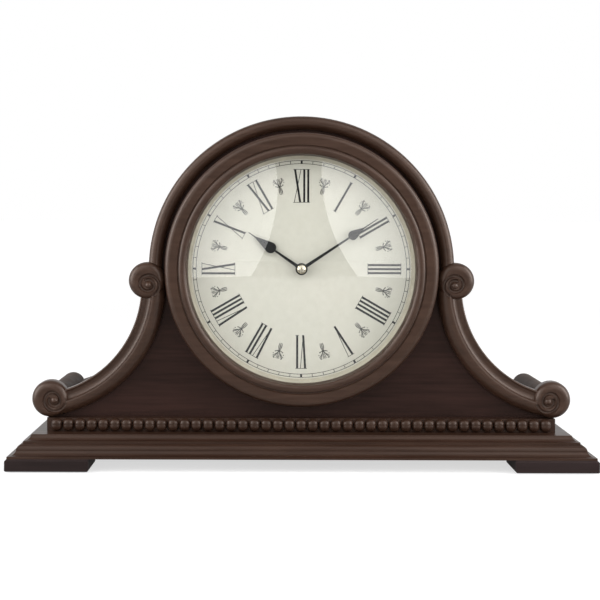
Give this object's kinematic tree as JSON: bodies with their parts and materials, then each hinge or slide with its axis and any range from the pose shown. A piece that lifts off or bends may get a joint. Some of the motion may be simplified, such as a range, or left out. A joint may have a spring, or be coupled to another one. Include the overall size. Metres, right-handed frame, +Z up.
{
  "type": "tambour shelf clock",
  "caption": "Battery mantel clock in a dark moulded wooden tambour case, with scroll shoulders, a beaded front, a turned bezel, a domed glass, Roman numerals and a rear access door.",
  "frame": {"origin": "on the ground under the middle of the plinth", "axes": "+X to the viewer's right, -Y out of the dial, +Z up"},
  "size_m": [0.45, 0.12, 0.2732],
  "materials": {
    "moulding_wood": "satin dark walnut stain",
    "shell_wood": "satin dark walnut veneer",
    "panel_veneer": "satin reddish-brown veneer",
    "foot_wood": "satin near-black stain",
    "block_wood": "bare softwood",
    "back_board": "matt stained board",
    "felt": "black felt",
    "screw_steel": "zinc plated",
    "sight_enamel": "satin pale gold",
    "glass": "clear polished",
    "dial_print": "matt cream print",
    "hand_black": "satin black",
    "nut_brass": "satin",
    "hinge_brass": "satin lacquered",
    "case_plastic": "moulded black",
    "knob_plastic": "moulded black",
    "slider_plastic": "moulded grey",
    "rubber": "matt black",
    "arbor_steel": "turned",
    "wheel_plastic": "moulded natural",
    "rotor_magnet": "sintered",
    "stator_steel": "stamped",
    "coil_copper": "enamelled copper wire",
    "board_laminate": "green solder mask",
    "battery_sleeve": "plain sleeve",
    "contact_nickel": "nickel plated",
    "catch_plastic": "moulded brown",
    "basket_metal": "black",
    "cone_paper": "black paper",
    "ferrite": "grey ferrite"
  },
  "bodies": {
    "case": {"plinth_base_board": "moulding_wood", "plinth_top_board": "moulding_wood", "arch_moulding": "moulding_wood", "scroll_moulding_left": "moulding_wood", "scroll_moulding_right": "moulding_wood", "bead_moulding": "moulding_wood", "bezel_ring": "moulding_wood", "arch_shell": "shell_wood", "side_shell_left": "shell_wood", "side_shell_right": "shell_wood", "front_panel": "panel_veneer", "foot_front_left": "foot_wood", "foot_front_right": "foot_wood", "foot_rear_left": "foot_wood", "foot_rear_right": "foot_wood", "glue_blocks": "block_wood", "back_panel": "back_board", "foot_pads": "felt", "base_screws": "screw_steel", "back_panel_screws": "screw_steel", "speaker_screws": "screw_steel", "sight_ring": "sight_enamel", "dome_glass": "glass", "dial_plate": "dial_print", "bushing_nut": "nut_brass", "shaft_bushing": "nut_brass", "hinge_leaf_case": "hinge_brass", "hinge_pins": "hinge_brass", "hinge_screws_case": "hinge_brass", "movement_front_case": "case_plastic", "movement_back_case": "case_plastic", "rubber_washer": "rubber", "stator": "stator_steel", "coil": "coil_copper", "circuit_board": "board_laminate", "batteries": "battery_sleeve", "battery_contacts": "contact_nickel", "magnetic_catch": "catch_plastic", "speaker_frame": "basket_metal", "speaker_cone": "cone_paper", "speaker_magnet": "ferrite"},
    "minute": {"minute_arbor": "arbor_steel", "minute_hand": "hand_black", "hand_nut": "nut_brass"},
    "hour": {"hour_wheel": "wheel_plastic", "hour_hand": "hand_black"},
    "motion": {"motion_wheel": "wheel_plastic"},
    "setting": {"setting_knob": "knob_plastic"},
    "centre": {"centre_wheel": "wheel_plastic"},
    "third": {"third_wheel": "wheel_plastic"},
    "seconds": {"seconds_wheel": "wheel_plastic"},
    "intermediate": {"intermediate_wheel": "wheel_plastic"},
    "rotor": {"rotor": "rotor_magnet"},
    "volume": {"volume_slider": "slider_plastic"},
    "selector": {"chime_selector": "slider_plastic"},
    "door": {"access_door": "back_board", "hinge_leaf_door": "hinge_brass", "hinge_screws_door": "hinge_brass", "door_knob": "hinge_brass", "strike_plate": "contact_nickel"}
  },
  "joints": [
    {"name": "minute_spin", "type": "hinge", "parent": "case", "child": "minute", "pos_m": [0, 0, 0.1532], "axis": [0, 1, 0], "continuous": true},
    {"name": "hour_spin", "type": "hinge", "parent": "case", "child": "hour", "pos_m": [0, 0, 0.1532], "axis": [0, 1, 0], "continuous": true},
    {"name": "motion_spin", "type": "hinge", "parent": "case", "child": "motion", "pos_m": [-0.00208, 0, 0.16502], "axis": [0, 1, 0], "continuous": true},
    {"name": "setting_spin", "type": "hinge", "parent": "case", "child": "setting", "pos_m": [-0.01248, 0, 0.17102], "axis": [0, 1, 0], "continuous": true},
    {"name": "rotor_spin", "type": "hinge", "parent": "case", "child": "rotor", "pos_m": [-0.01169, 0, 0.14708], "axis": [0, 1, 0], "continuous": true},
    {"name": "centre_spin", "type": "hinge", "parent": "case", "child": "centre", "pos_m": [0, 0, 0.1532], "axis": [0, 1, 0], "continuous": true},
    {"name": "third_spin", "type": "hinge", "parent": "case", "child": "third", "pos_m": [0.01325, 0, 0.14555], "axis": [0, 1, 0], "continuous": true},
    {"name": "seconds_spin", "type": "hinge", "parent": "case", "child": "seconds", "pos_m": [0.00078, 0, 0.13835], "axis": [0, 1, 0], "continuous": true},
    {"name": "intermediate_spin", "type": "hinge", "parent": "case", "child": "intermediate", "pos_m": [-0.00749, 0, 0.13981], "axis": [0, 1, 0], "continuous": true},
    {"name": "door_hinge", "type": "hinge", "parent": "case", "child": "door", "pos_m": [-0.062, 0.0526, 0.1362], "axis": [0, 0, 1], "range_deg": [0, 110]},
    {"name": "volume_slide", "type": "slide", "parent": "case", "child": "volume", "axis": [1, 0, 0], "range_m": [0, 0.006]},
    {"name": "selector_slide", "type": "slide", "parent": "case", "child": "selector", "axis": [1, 0, 0], "range_m": [0, 0.006]}
  ],
  "couplings": [
    {"joint": "motion_spin", "follows": "minute_spin", "ratio": -0.33333},
    {"joint": "hour_spin", "follows": "minute_spin", "ratio": 0.083333},
    {"joint": "setting_spin", "follows": "minute_spin", "ratio": 1},
    {"joint": "intermediate_spin", "follows": "rotor_spin", "ratio": -0.16667},
    {"joint": "seconds_spin", "follows": "rotor_spin", "ratio": 0.033333},
    {"joint": "third_spin", "follows": "rotor_spin", "ratio": -0.0041667},
    {"joint": "centre_spin", "follows": "rotor_spin", "ratio": 0.00055556}
  ]
}
